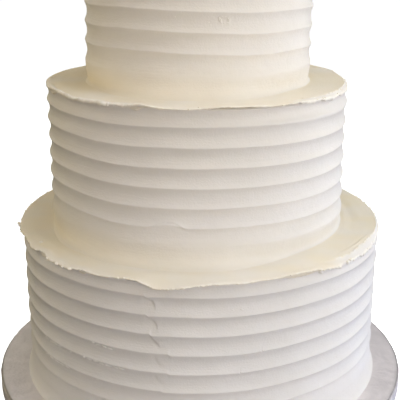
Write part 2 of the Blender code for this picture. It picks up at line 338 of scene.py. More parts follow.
MIDDLE = Tier(
    1, "tier_middle", crest_below=11.6, pitch=12.6, crests=7, offset=-2.1, slope=-0.013, lean=0.0,
    foot=(9, 6.2, -0.05), facing=(-20, 0.5),
    lip=[
        (-76, 0.8), (-66, -1), (-57, -1.6), (-50, 0), (-46, 1.4), (-43, 0.3), (-39.5, 1.1), (-34, 0.2),
        (-31.5, 1.2), (-27, 0.2), (-24.5, 0.6), (-22.5, 0), (-20.5, -1.2), (-18, -1.6), (-14, 0),
        (-9, 0.6), (-2, 0.7), (3, -0.2), (7, -0.7), (9, -1.1), (13, -0.5), (19, 0), (25, 1), (32, 0.4),
        (38, 0), (44, 0.6), (48, 1.2), (54, 2), (60, 2.6), (68, 2.8), (78, 2.4), (88, 1.4), (98, 0.6),
        (108, -0.5), (120, -0.6), (132, -0.3), (145, 0), (212, 0.2), (224, 0.9), (236, 1.2), (250, 0.6),
        (264, 0.5),
    ],
    thick=[(-90, 1), (-78, 1.6), (-66, 2.4), (-48, 3.4), (-34, 3), (-20, 1.9), (-8, 1.2), (30, 1)],
    pressed=[(-110, 1), (-65, 0.9), (-30, 0.45), (0, 0.34), (40, 0.44), (80, 0.66), (120, 0.7)],
    held=[
        (-130, 0, 0), (-108, 0.95, -0.3), (-74, 0.95, -0.7), (-60, 0.4, 0.6), (-48, 0, 0), (36, 0, 0),
        (54, 0.9, -0.2), (76, 1, -0.8), (100, 1, -1.5), (125, 0, 0),
    ],
    tears=[(-64, 4, 0.4), (-20, 2, 0.4), (120, 6, 2), (-150, 4, 1.8)],
    bevel=[(30, 0, 8), (42, 1, 5), (60, 1, 3), (84, 1, 2.4), (106, 1, 2), (116, 0, 2)],
    ragged=[(-100, 0.3), (-60, 0.3), (-30, 0.6), (0, 0.4), (15, 0.3), (50, 0.5), (100, 0.7)],
    bead=[(-110, 0.2), (-85, 0.8), (-60, 1.1), (-35, 1.1), (-20, 0.8), (-5, 0.4), (20, 0.2), (80, 0.3)],
    level=[
        (-100, 0, 0), (-66, -0.6, -0.5), (-50, -0.5, -0.1), (-43, -0.8, -0.3), (-37, -1.1, -0.8),
        (-29, -1.3, -1.5), (-21, -1.1, -1.6), (-14, -0.7, -1.3), (-9, -0.4, -1.2), (-3, -0.4, -0.9),
        (4, -0.3, -0.7), (12, -0.3, -0.3), (20, -0.4, -0.1), (28, -0.6, -0.2), (37, -0.8, -0.6),
        (50, -1, -0.9), (64, -1.4, -0.8), (100, 0, 0),
    ],
    strays=[(1, [(-17.5, 0), (-14, 1.2), (-11, 1.9), (-8, 1.9), (-5.6, 1.1), (-3, 0)])],
    crumbs=[
        (-69.5, 0.2, 1.3, 1.4), (-64, 0.5, 1, 1.8), (-37.8, 0.3, 1, 1.8), (-33.9, 0.3, 1, 2.4),
        (-28.9, 0.4, 1, 1.6), (-27.3, 2.8, 1.4, 2), (-24.2, 2.6, 1.3, 1.6), (-22.4, 1.6, 1.1, 2),
        (-20.6, 1, 1.3, 2.2), (-18.6, 0.9, 1.1, 2.4), (-2.9, 3.4, 1.2, 1.5), (-2.4, 0.1, 1, 1),
        (1.2, 2.2, 1.4, 1.8), (3.2, 2, 1.2, 1.4), (9, 0.8, 1, 2.6), (11, 0.3, 1.1, 2),
        (28.5, -1, 0.8, 2.4), (52, 2.4, 0.8, 2.4), (66, 1.2, 0.8, 2), (88, 0.4, 0.9, 1.8),
    ],
    burrs=[(-24, 3.88, 0.5, 1.2, 20), (-10.5, 1.2, 0.5, 3, 4), (-7.8, 1.2, 0.5, 2.6, -4)],
    marks=[
        ("ridge", 0.45, 0.6, [(-15.5, 1.06), (-13, 1.14), (-10.8, 1.22), (-8, 1.22), (-6, 1.12), (-4, 1)]),
        ("nick", 0.35, 1.2, [(-16, 0.9), (-12, 1), (-8, 1.02), (-4, 0.86), (0, 0.82)]),
        ("ridge", 0.12, 0.8, [(-17, 0.28), (-6, 0.26), (6, 0.3)]),
    ],
    streaks=[
        ("ridge", 0.3, 0.8, [(-30, 92.5), (-26, 92), (-22, 94.5), (-18, 97.5)]),
        ("nick", 0.25, 0.9, [(-29, 91), (-24, 91), (-19, 94)]),
        ("ridge", 0.35, 0.7, [(40, 101.5), (52, 101.4), (64, 101.6), (76, 101.8)]),
        ("ridge", 0.15, 1.6, [(-48, 95), (-34, 96), (-20, 97)]),
    ],
)
TOP = Tier(
    2, "tier_top", crest_below=10.7, pitch=12.5, crests=7, offset=-1.6, slope=-0.026, lean=0.018,
    foot=(9, 6.2, -0.05), facing=(-5, 0.55),
    lip=[
        (-70, 1.2), (-58, 2.2), (-52, 0.6), (-40, 1.5), (-34, 2.4), (-27, 0.5), (-12, 1.2), (-4, 2.1),
        (6, 1.6), (14, 0.4), (24, 1), (31, 2.6), (37, 1.5), (49, 0.6), (60, 1.8), (72, 1.1),
    ],
    thick=[(-90, 1), (0, 1.2), (90, 1)],
    pressed=[(-90, 0.9), (0, 0.6), (90, 0.7)],
    held=[(-140, 0, 0), (-100, 0.6, 0.2), (-60, 0.3, 0.2), (-45, 0, 0), (45, 0, 0), (70, 0.7, 0.2)],
    tears=[(-34, 4, 1.4), (33, 4, 1.2), (104, 5, 1.8), (-120, 5, 1.6)],
    bevel=[(38, 0, 8), (46, 1, 6), (70, 1, 4), (80, 0, 4)],
    ragged=[(-180, 0.8), (0, 0.6), (90, 0.8)],
    bead=[(-180, 0.3), (-60, 0.4), (-20, 0.3), (20, 0.2), (60, 0.3), (120, 0.4)],
    level=[
        (-100, 0, 0), (-62, 0.3, -1.8), (-53, 0.3, -1.1), (-46, 0.6, -0.7), (-40, 0.8, -0.1),
        (-30, 0.8, -0.5), (-22, 1, -0.1), (-12, 0.6, -0.3), (0, 0.1, -0.1), (7, 0.5, -0.3),
        (14, 0.5, -0.6), (21, 0, -0.9), (27, 0, -0.7), (35, 0.6, -0.9), (42, 0.7, -0.2), (51, 1.2, 0.2),
        (60, 1.4, 0.5), (100, 0, 0),
    ],
    strays=[(0, [(-60, 0), (-30, -0.6), (20, -0.8), (50, -0.9), (90, 0)])],
    crumbs=[(-36, 0.4, 0.9, 1.6), (-12, 0.6, 0.7, 2), (22, 0.4, 0.8, 1.4), (58, 2, 0.7, 2.4)],
    burrs=[
        (9.1, 2.68, 0.9, 2.2, 75), (9.5, 2.58, 0.9, 2.2, -60), (10.4, 2.49, 0.7, 2.4, -30),
        (11.7, 2.45, 0.6, 2.8, 0), (13, 2.49, 0.6, 2.6, 30), (13.8, 2.6, 0.6, 2.6, 75),
        (13.4, 2.73, 0.6, 2.6, -50), (12.2, 2.8, 0.5, 2.8, -15), (10.6, 2.8, 0.5, 2.8, 15),
        (9.6, 2.75, 0.7, 2.2, 50), (10.2, 2.64, 1, 1.6, 70), (4.6, 2.48, 0.7, 1.2, 0),
        (-10.9, 2.75, 0.7, 1.2, 0),
    ],
    marks=[
        ("nick", 0.7, 1.1, [(11.2, 2.6), (12.6, 2.62)]),
        ("ridge", 0.3, 0.8, [(-40, -0.04), (-20, -0.05), (0, -0.05), (20, -0.04), (40, -0.02)]),
    ],
    streaks=[("ridge", 0.12, 1.2, [(-40, 66), (0, 60), (40, 66)])],
)
TIERS = (BOTTOM, MIDDLE, TOP)


# ---- Making nodes and meshes


def put(tree, kind, links=(), **settings):
    """Adds a node with its settings, gives its inputs values or other nodes' outputs, in order
    or by name, and hands back its first output."""
    added = tree.nodes.new(kind)
    for name, value in settings.items():
        setattr(added, name, value)
    for name, value in (links.items() if isinstance(links, dict) else enumerate(links)):
        if isinstance(value, bpy.types.NodeSocket):
            tree.links.new(value, added.inputs[name])
        else:
            added.inputs[name].default_value = value
    return added.outputs[0] if added.outputs else None


def spread_nodes(tree):
    """Lays the tree's nodes out in columns, in the order they were added."""
    for number, placed in enumerate(tree.nodes):
        placed.location = (220 * (number // 8), -180 * (number % 8))


def started_tree(name, *inputs):
    """A tree for a modifier, and what its inputs give. Each row of inputs is their kind, their
    subtype if any, and their names."""
    tree = bpy.data.node_groups.new(name, "GeometryNodeTree")
    tree.is_modifier = True
    tree.interface.new_socket("Geometry", in_out="OUTPUT", socket_type="NodeSocketGeometry")
    for kind, subtype, *titles in inputs:
        for title in titles:
            made = tree.interface.new_socket(title, in_out="INPUT", socket_type="NodeSocket" + kind)
            if subtype:
                made.subtype = subtype
    return tree, {socket.name: socket for socket in put(tree, "NodeGroupInput").node.outputs}


def ended_tree(tree, geometry, icing):
    """Ends a tree: smooth shading, its instances made real, and the icing."""
    smooth = put(tree, "GeometryNodeSetShadeSmooth", (geometry,))
    real = put(tree, "GeometryNodeRealizeInstances", (smooth,))
    iced = put(tree, "GeometryNodeSetMaterial", {"Geometry": real, "Material": icing})
    put(tree, "NodeGroupOutput", (iced,))
    spread_nodes(tree)
    return tree


def object_from(data, name):
    made = bpy.data.objects.new(name, data)
    bpy.context.scene.collection.objects.link(made)
    return made


def grown(name, tree, values, base=None):
    """A plain mesh object grown by a geometry node tree with these input values."""
    source = object_from(base or bpy.data.meshes.new(name), name)
    growth = source.modifiers.new("growth", "NODES")
    growth.node_group = tree
    for item in tree.interface.items_tree:
        if item.in_out == "INPUT" and item.name in values:
            growth[item.identifier] = values[item.name]
    graph = bpy.context.evaluated_depsgraph_get()
    mesh = bpy.data.meshes.new_from_object(source.evaluated_get(graph), depsgraph=graph)
    bpy.data.objects.remove(source, do_unlink=True)
    mesh.materials.clear()
    mesh.materials.append(values["Icing"])
    mesh.polygons.foreach_set("material_index", np.zeros(len(mesh.polygons), dtype=np.int32))
    return object_from(mesh, name)


def settle(piece, name, replaced):
    """Names a finished piece and ties it to the frame."""
    piece.name = name
    piece.data.name = name
    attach(piece, BODY)
    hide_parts(replaced)


def places(mesh):
    found = np.empty(len(mesh.vertices) * 3)
    mesh.vertices.foreach_get("co", found)
    return found.reshape(-1, 3)


def read(mesh, name):
    values = np.empty(len(mesh.vertices))
    mesh.attributes[name].data.foreach_get("value", values)
    return values


def store(mesh, **attributes):
    """Keeps numbers or vectors, one for each corner, on the mesh."""
    for name, values in attributes.items():
        kind, field = ("FLOAT", "value") if values.ndim == 1 else ("FLOAT_VECTOR", "vector")
        mesh.attributes.new(name, kind, "POINT").data.foreach_set(field, values.ravel())


def round_axis(bearings, radius, height, centre=0.0):
    """Places at these bearings and distances round an axis, itself this far east of the cake's."""
    east, north = centre + radius * np.sin(bearings), -radius * np.cos(bearings)
    return np.stack([east, north, height], axis=-1)


def push_out(found, bearings, reach):
    found[:, 0] += reach * np.sin(bearings)
    found[:, 1] -= reach * np.cos(bearings)


def closed_sheet(corners, name):
    """A closed mesh from rows of corners round the z axis, its first and last rows capped."""
    rows, columns = corners.shape[:2]
    quads = []
    for row in range(rows - 1):
        here = row * columns + np.arange(columns)
        beside = row * columns + (np.arange(columns) + 1) % columns
        quads.append(np.stack([here, beside, beside + columns, here + columns], axis=1))
    faces = np.concatenate(quads).tolist()
    faces.append(list(range(columns))[::-1])
    faces.append([(rows - 1) * columns + column for column in range(columns)])
    mesh = bpy.data.meshes.new(name)
    mesh.from_pydata(corners.reshape(-1, 3).tolist(), [], faces)
    mesh.shade_smooth()
    mesh.validate()
    return object_from(mesh, name)


# ---- The hand's unevenness


def bell(values, middle, width):
    """1 at the middle, falling to nothing past the width."""
    return np.exp(-(((values - middle) / width) ** 2))


def rising(values, start, end):
    """0 up to the start, 1 from the end."""
    return np.clip((values - start) / (end - start), 0, 1)


def listed_at(listed, degrees):
    """What a list gives at these bearings, going round the cake: one array for each column."""
    turned, *columns = np.array(listed).T
    return [np.interp(degrees, turned, column, period=360) for column in columns]


def ripple(bearings, seed, slowest, fastest, fall=0.5):
    """An even, closed ripple round the cake, about -1 to 1, from its slow waves to its fast."""
    draw = np.random.default_rng(seed)
    total, power = np.zeros_like(bearings), 0.0
    for count in np.unique(np.geomspace(slowest, fastest, 14).round()):
        strength = (slowest / count) ** fall * draw.uniform(0.5, 1.0)
        total += strength * np.sin(count * bearings + draw.uniform(0, math.tau))
        power += strength**2 / 2
    return total / math.sqrt(2 * power)


def mottled(across, along, seed):
    """Slow patches over a ledge, about -1 to 1, where the spatula pressed more and less."""
    draw = np.random.default_rng(seed)
    total, count = np.zeros(across.shape), 14
    for _ in range(count):
        length = draw.uniform(16, 70) * MM
        turn, phase = draw.uniform(0, math.tau, 2)
        way = across * math.cos(turn) + along * math.sin(turn)
        total += np.sin(math.tau * way / length + phase)
    return total / math.sqrt(count)


def spatula_waves(tier, sizes, bearings, radius):
    """The low waves of the spatula on a ledge: broad swells, and finer streaks in patches."""
    draw = np.random.default_rng(sizes.seed + 60 + tier.number)
    relief = np.zeros(np.broadcast(bearings, radius).shape)
    broad, fine, longest = 0.55 * sizes.streaks, 0.14 * sizes.streaks, 46
    for length in (longest, 31, 22, 15, 11):
        turns = draw.integers(1, 7)
        phase = draw.uniform(0, math.tau)
        wave = turns * bearings + math.tau * radius / (length * MM) + phase
        relief += broad * np.sin(wave) * (length / longest) ** 0.4
    for length in (8.5, 6.0, 4.4):
        turns = draw.integers(1, 5)
        patch = np.clip(ripple(bearings, sizes.seed + 70 + tier.number + turns, 1, 7), 0, 1)
        phase = draw.uniform(0, math.tau)
        wave = turns * np.sin(bearings + phase) + math.tau * radius / (length * MM)
        relief += fine * np.sin(wave + phase) * patch
    return relief


def marked(kind, height, width, line, across, along):
    """How far one mark of the hand lifts points on a wall or a ledge. The line is in metres."""
    lift = np.zeros(len(across))
    margin, fading_length = 30 * MM, 5 * MM
    height, width = height * MM, width * MM
    low, high = line.min(axis=0) - margin, line.max(axis=0) + margin
    near_by = (across > low[0]) & (across < high[0]) & (along > low[1]) & (along < high[1])
    points = np.stack([across[near_by], along[near_by]], axis=1)
    if not len(points):
        return lift
    steps = np.diff(line, axis=0)
    lengths = np.linalg.norm(steps, axis=1)
    befores = np.cumsum(lengths) - lengths
    closest = np.full(len(points), np.inf)
    side, place = np.zeros((2, len(points)))
    for start, step, length, before in zip(line, steps, lengths, befores):
        away = points - start
        share = np.clip(away @ step / length**2, 0, 1)
        gap = np.linalg.norm(away - share[:, None] * step, axis=1)
        better = gap < closest
        closest = np.where(better, gap, closest)
        cross = step[0] * away[:, 1] - step[1] * away[:, 0]
        side = np.where(better, np.sign(cross), side)
        place = np.where(better, (before + share * length) / lengths.sum(), place)
    if kind == "step":
        fading = np.exp(-closest / fading_length) * np.sin(np.pi * np.clip(place, 0, 1) ** 0.7)
        found = 0.5 * np.tanh(side * closest / width) * fading
    else:
        ends = np.clip(8 * place * (1 - place), 0, 1) if len(line) > 2 else 1.0
        found = bell(closest, 0, width) * (0.35 + 0.65 * ends)
        found -= 0.45 * bell(side * closest, -1.7 * width, width) * ends
        found = found if kind == "ridge" else -found
    lift[near_by] = height * found
    return lift


# ---- Materials


def started_material(name):
    """A material with no nodes yet, what adds a node to it, and its object's coordinates."""
    surface = bpy.data.materials.new(name)
    surface.use_nodes = True
    surface.node_tree.nodes.clear()
    add = partial(put, surface.node_tree)
    return surface, add, add("ShaderNodeTexCoord").node.outputs["Object"]


def buttercream(combed, smoothed, torn):
    """American buttercream, combed, and flattened smooth with a steel blade: butterfat gives it a soft
    sheen and lets a little light in; whipped air leaves fine pits and the blade faint drag lines.
    Where the spatula went over it again the butter came up, so it is yellower and smoother; that
    yellow also carries painted warm light on the tops and painted warm shade at the left and back.
    Where it is torn the whipped icing shows, so it is whiter; that white also carries painted
    highlights along the lips' edges, a struck edge's brow and the crumbs. The icing is a little
    creamier the higher it stands: partly each tier's own mix, partly painted light, cool from
    below and warm from above."""
    surface, add, where = started_material("combed_buttercream")
    pit_spacing, drag_spacing, cloud_spacing = 1.1 * MM, 1.4 * MM, 38 * MM
    drag_stretch = 0.06  # the blade's lines run level, so they are far longer than they are high
    pits = add(NOISE, {"Vector": where, "Scale": 1 / pit_spacing, "Detail": 3.0, "Roughness": 0.6})
    level = add("ShaderNodeMapping", {"Vector": where, "Scale": (drag_stretch, drag_stretch, 1.0)})
    drags = add(NOISE, {"Vector": level, "Scale": 1 / drag_spacing, "Detail": 2.0})
    clouds = add(
        NOISE, {"Vector": where, "Scale": 1 / cloud_spacing, "Detail": 4.0, "Roughness": 0.55}
    )
    butter = (*combed, 1.0)
    # The yellower tint carries painted warm light and painted warm shade besides the butter; the whiter
    # tint carries painted highlights besides the torn icing.
    for name, colour in (("smoothed", smoothed), ("torn", torn)):
        worked = add("ShaderNodeAttribute", attribute_name=name).node.outputs["Fac"]
        mixed = add(MIX, {0: worked, 6: butter, 7: (*colour, 1.0)}, data_type="RGBA")
        butter = mixed.node.outputs[2]
    drift = add("ShaderNodeValToRGB", (clouds,))
    duller, plain = (0.965, 0.962, 0.95, 1.0), (1.0, 1.0, 1.0, 1.0)
    for stop, place, shade in zip(drift.node.color_ramp.elements, (0.32, 0.68), (duller, plain)):
        stop.position, stop.color = place, shade
    # Whiter and cooler low down, creamier high up: partly each tier's own mix, partly painted cool light
    # from below and painted warm light from above.
    up = add("ShaderNodeSeparateXYZ", (where,)).node.outputs["Z"]
    higher = add(RANGE, (up, 70 * MM, 260 * MM))
    whiter, creamier = (0.94, 0.955, 0.985, 1.0), (1.0, 0.98, 0.935, 1.0)
    batch_and_painted_light = add(MIX, {0: higher, 6: whiter, 7: creamier}, data_type="RGBA").node.outputs[2]
    for shade in (drift, batch_and_painted_light):
        links = {0: 1.0, 6: butter, 7: shade}
        butter = add(MIX, links, data_type="RGBA", blend_type="MULTIPLY").node.outputs[2]
    relief = add(MATH, (drags, 0.6, pits), operation="MULTIPLY_ADD")
    shader = add(
        "ShaderNodeBsdfPrincipled",
        {
            "Base Color": butter,
            "Roughness": add(RANGE, {"Value": drags, "To Min": 0.46, "To Max": 0.6}),
            "Normal": add("ShaderNodeBump", {"Height": relief, "Strength": 0.8, "Distance": 0.26 * MM}),
            "IOR": 1.46,
            "Specular IOR Level": 0.4,
            "Subsurface Weight": 0.12,
            "Subsurface Radius": (1.0, 0.8, 0.55),
            "Subsurface Scale": 0.8 * MM,
        },
        subsurface_method="RANDOM_WALK",
    )
    add("ShaderNodeOutputMaterial", (shader,))
    spread_nodes(surface.node_tree)
    return surface


def board_foil(colour):
    """Embossed aluminium foil on paper, pasted over the drum: a dull silver with a fine pressed
    grain and shallow creases where it was flattened down. Along the rounded top of the rim it is
    painted darker: a painted dark reflection of the room round it."""
    surface, add, where = started_material("embossed_foil")
    grain_spacing, crease_spacing = 2.2 * MM, 14 * MM
    grain = add(
        "ShaderNodeTexVoronoi",
        {"Vector": where, "Scale": 1 / grain_spacing, "Smoothness": 0.6},
        feature="SMOOTH_F1",
    )
    creases = add(
        NOISE, {"Vector": where, "Scale": 1 / crease_spacing, "Detail": 5.0, "Distortion": 1.2}
    )
    # dull is the creases' random duller tone; tight is the colour of the painted dark reflection along the
    # rim.
    dull, tight = (tuple(part * share for share in colour) for part in (0.9, 0.28))
    tarnish = add("ShaderNodeValToRGB", (creases,))
    for stop, place, shade in zip(tarnish.node.color_ramp.elements, (0.38, 0.62), (dull, colour)):
        stop.position, stop.color = place, (*shade, 1.0)
    folded = add("ShaderNodeAttribute", attribute_name="folded").node.outputs["Fac"]
    shown = add(MIX, {0: folded, 6: tarnish, 7: (*tight, 1.0)}, data_type="RGBA").node.outputs[2]
    relief = add(MATH, (creases, 2.5, grain), operation="MULTIPLY_ADD")
    shader = add(
        "ShaderNodeBsdfPrincipled",
        {
            "Base Color": shown,
            "Metallic": 0.25,
            "Roughness": add(RANGE, {"Value": creases, "To Min": 0.3, "To Max": 0.56}),
            "Normal": add("ShaderNodeBump", {"Height": relief, "Strength": 0.8, "Distance": 0.4 * MM}),
        },
    )
    add("ShaderNodeOutputMaterial", (shader,))
    spread_nodes(surface.node_tree)
    return surface


def lit_floor():
    """A white acrylic sheet lit from below: pale, with next to no shadow."""
    surface = bpy.data.materials.new("lit_white_sheet")
    surface.use_nodes = True
    shader = surface.node_tree.nodes["Principled BSDF"]
    for name, value in {
        "Base Color": (*linear("#f6f5f2"), 1.0),
        "Roughness": 0.9,
        "Specular IOR Level": 0.0,
        "Emission Color": (*linear("#ffffff"), 1.0),
        "Emission Strength": 1.0,
    }.items():
        shader.inputs[name].default_value = value
    return surface


# ---- Combed sides


# Kinds of node for the combed side, each with its settings
CLAMP, XYZ, NOISE_3D = ("ShaderNodeClamp", {}), ("ShaderNodeCombineXYZ", {}), (NOISE, {})
NOISE_4D, STRETCH = (NOISE, {"noise_dimensions": "4D"}), (VECTORS, {"operation": "MULTIPLY"})
SMOOTHLY = (RANGE, {"interpolation_type": "SMOOTHSTEP"})
SWITCH = ("GeometryNodeSwitch", {"input_type": "FLOAT"})

WALL_HANDLE = 0.6  # how far up the foot's curve its handle on the wall reaches
SKIN_SPACING, SKIN_STRETCH = 3.2 * MM, 0.45  # the skin's grain is drawn out the comb's way

# The combed side, step by step: what a step gives, its sum or its kind of node, and its inputs
SIDE_STEPS = (
    ("westward", "MULTIPLY", "y", -1.0),
    ("even", "ARCTAN2", "x", "westward"),
    ("turn", "SINE", "even"),
    ("bearing", "MULTIPLY_ADD", "turn", -FRONT_CROWDING, "even"),
    ("eastward", "SINE", "bearing"),
    ("southward", "COSINE", "bearing"),
    ("northward", "MULTIPLY", "southward", -1.0),
    ("share_up", "ADD", "z", 0.5),
    ("row", "MULTIPLY", "share_up", "All Rows"),
    ("row", "ROUND", "row"),
    # The comb: rows crowd towards each crest, where the surface turns fastest.
    ("grooves", "SUBTRACT", "row", "Foot Rows"),
    ("grooves", "DIVIDE", "grooves", "Groove Rows"),
    ("part", "FRACT", "grooves"),
    ("turn", "MULTIPLY", "part", math.tau),
    ("turn", "SINE", "turn"),
    ("eased", "MULTIPLY_ADD", "turn", -CREST_CROWDING / math.tau, "part"),
    ("phase", "FLOOR", "grooves"),
    ("phase", "ADD", "phase", "eased"),
    ("combed_height", "MULTIPLY_ADD", "phase", "Pitch", "Lowest Crest"),
    # The foot: a curve with one handle up the wall and one along what the tier stands on.
    ("up", "DIVIDE", "row", "Foot Rows"),
    ("down", "SUBTRACT", 1.0, "up"),
    ("down", CLAMP, "down"),
    ("up", "SUBTRACT", 1.0, "down"),
    ("first", "POWER", "up", 3.0),
    ("second", "POWER", "up", 2.0),
    ("second", "MULTIPLY", "second", "down"),
    ("third", "POWER", "down", 2.0),
    ("third", "MULTIPLY", "third", "up"),
    ("third", "MULTIPLY", "third", 3.0),
    ("fourth", "POWER", "down", 3.0),
    ("foot_share", "MULTIPLY_ADD", "second", 3 * (1 - WALL_HANDLE), "first"),
    ("foot_rise", "SUBTRACT", "Lowest Crest", "Toe"),
    ("foot_height", "MULTIPLY_ADD", "foot_share", "foot_rise", "Toe"),
    ("inner", "SUBTRACT", "Foot Flare", "Foot Run"),
    ("outer", "MULTIPLY", "fourth", "Foot Flare"),
    ("spread", "MULTIPLY_ADD", "third", "inner", "outer"),
    ("lowest", "SUBTRACT", "Foot Rows", 0.5),
    ("below", "LESS_THAN", "row", "lowest"),
    ("under", "LESS_THAN", "row", 0.5),
    ("height", SWITCH, "below", "combed_height", "foot_height"),
    ("height", SWITCH, "under", "height", -0.8 * MM),  # sunk into what it stands on
    # Slow unevenness of the hand, in the wall and in the comb's lines.
    ("level_way", XYZ, "eastward", "northward", "grooves"),
    ("slow", STRETCH, "level_way", (1.0, 1.0, 0.22)),  # little change from scallop to scallop
    ("swell", NOISE_4D, {"Vector": "slow", "W": "Seed", "Scale": 1.6}),
    ("seed", "ADD", "Seed", 31.7),
    ("drift", NOISE_4D, {"Vector": "slow", "W": "seed", "Scale": 2.6, "Detail": 2.5}),
    ("seed", "ADD", "Seed", 77.1),
    ("uneven", NOISE_4D, {"Vector": "level_way", "W": "seed", "Scale": 1.9}),
    # The foot is broadest where the baker stood to smooth it, and tight round the sides.
    ("facing", "SUBTRACT", "bearing", "Foot Facing"),
    ("facing", "COSINE", "facing"),
    ("front", SMOOTHLY, "facing", "Foot Narrowness", 0.95, "Foot Tightness"),
    ("flare", "MULTIPLY_ADD", "swell", 0.6, 0.7),
    ("flare", "MULTIPLY", "spread", "flare"),
    ("flare", "MULTIPLY", "flare", "front"),
    # The scallop's depth: running out towards a broad foot, about a third shallower at the
    # cake's sides, from two thirds to four thirds of itself by chance, round at its crests.
    ("full", SMOOTHLY, "height", 8 * MM, 30 * MM),
    ("part_full", "SUBTRACT", 1.0, "full"),
    ("tight", "SUBTRACT", 1.0, "front"),
    ("full", "MULTIPLY_ADD", "part_full", "tight", "full"),
    ("hollow", "MULTIPLY_ADD", "eased", 2.0, -1.0),
    ("hollow", "MULTIPLY", "hollow", "hollow"),
    ("hollow", "SUBTRACT", 1.0, "hollow"),
    ("sideways", "ABSOLUTE", "eastward"),
    ("sideways", "POWER", "sideways", 4.0),
    ("sideways", "MULTIPLY_ADD", "sideways", -0.38, 1.0),
    ("uneven", "MULTIPLY_ADD", "uneven", 0.7, 0.65),
    ("scoop", "MULTIPLY", "uneven", "sideways"),
    ("scoop", "MULTIPLY", "scoop", "full"),
    ("scoop", "MULTIPLY", "scoop", "Groove Depth"),
    ("depth", "MULTIPLY", "scoop", "hollow"),
    ("rounding", "MULTIPLY", "Crest Rounding", "Crest Rounding"),
    ("depth", "MULTIPLY_ADD", "depth", "depth", "rounding"),
    ("depth", "SQRT", "depth"),
    ("depth", "SUBTRACT", "depth", "Crest Rounding"),
    # The skin: small flats and hollows, drawn out along the comb's way.
    ("across", "MULTIPLY", "Radius", SKIN_STRETCH),
    ("skin_east", "MULTIPLY", "eastward", "across"),
    ("skin_north", "MULTIPLY", "northward", "across"),
    ("skin_up", "ADD", "height", "Seat"),
    ("skin", XYZ, "skin_east", "skin_north", "skin_up"),
    ("skin", NOISE_3D, {"Vector": "skin", "Scale": 1 / SKIN_SPACING, "Detail": 3.0, "Roughness": 0.55}),
    ("skin", "SUBTRACT", "skin", 0.5),
    ("skin", "MULTIPLY", "skin", "Skin"),
    ("swell", "SUBTRACT", "swell", 0.5),
    ("swell", "MULTIPLY", "swell", "Swell"),
    ("radius", "ADD", "Radius", "flare"),
    ("radius", "SUBTRACT", "radius", "depth"),
    ("radius", "ADD", "radius", "skin"),
    ("radius", "MULTIPLY_ADD", "swell", 2.0, "radius"),
    # Out of true above its foot: the lines slope, the wall leans, the tier stands off centre.
    ("loose", SMOOTHLY, "height", 4 * MM, 24 * MM),
    ("drift", "SUBTRACT", "drift", 0.5),
    ("drift", "MULTIPLY", "drift", "Wander"),
    ("drift", "MULTIPLY", "drift", 2.0),
    ("east", "MULTIPLY", "eastward", "radius"),
    ("north", "MULTIPLY", "northward", "radius"),
    ("lift", "MULTIPLY_ADD", "east", "Comb Slope", "drift"),
    ("above", "MULTIPLY_ADD", "lift", "loose", "height"),
    ("above", "ADD", "Seat", "above"),
    ("shifted", "MULTIPLY_ADD", "height", "Lean", "Offset"),
    ("shifted", "ADD", "shifted", "east"),
    ("moved", XYZ, "shifted", "north", "above"),
    # The foot's yellower tint: partly butter that the spatula pressed up, partly painted warm shade, most
    # of all at the left.
    ("smoothed", SMOOTHLY, "height", -1.0 * MM, "Smoothed To"),
    ("smoothed", "SUBTRACT", 1.0, "smoothed"),
    ("pressed", "MULTIPLY_ADD", "eastward", -0.42, 0.44),
    ("smoothed", "MULTIPLY", "smoothed", "pressed"),
)


def combed_side_tree():
    """Geometry nodes for a tier's side: a tall drum of rows and columns, drawn into scallops by
    the comb, run out to a hollow foot, and put a little out of true."""
    tree, known = started_tree(
        "Combed Side",
        ("Float", "DISTANCE", "Radius", "Seat", "Lowest Crest", "Pitch", "Groove Depth",
         "Crest Rounding", "Foot Flare", "Foot Run", "Toe", "Offset", "Wander", "Swell",
         "Smoothed To", "Skin"),
        ("Float", "", "Comb Slope", "Lean", "Foot Facing", "Foot Narrowness", "Foot Tightness", "Seed"),
        ("Int", "", "Columns", "Foot Rows", "Groove Rows", "All Rows"),
        ("Material", "", "Icing"),
    )
    unit = {"Vertices": known["Columns"], "Side Segments": known["All Rows"], "Radius": 1.0, "Depth": 1.0}
    drum = put(tree, "GeometryNodeMeshCylinder", unit, fill_type="NGON")
    axes = put(tree, "ShaderNodeSeparateXYZ", (put(tree, "GeometryNodeInputPosition"),)).node
    known.update(x=axes.outputs["X"], y=axes.outputs["Y"], z=axes.outputs["Z"])
    for name, kind, *inputs in SIDE_STEPS:
        kind, settings = (MATH, {"operation": kind}) if isinstance(kind, str) else kind
        links = inputs[0] if isinstance(inputs[0], dict) else dict(enumerate(inputs))
        links = {place: known[link] if isinstance(link, str) else link for place, link in links.items()}
        known[name] = put(tree, kind, links, **settings)
    side = drum
    for name in ("bearing", "phase", "scoop", "smoothed"):
        links = {"Geometry": side, "Name": name, "Value": known[name]}
        side = put(tree, "GeometryNodeStoreNamedAttribute", links)
    side = put(tree, "GeometryNodeSetPosition", {"Geometry": side, "Position": known["moved"]})
    return ended_tree(tree, side, known["Icing"])


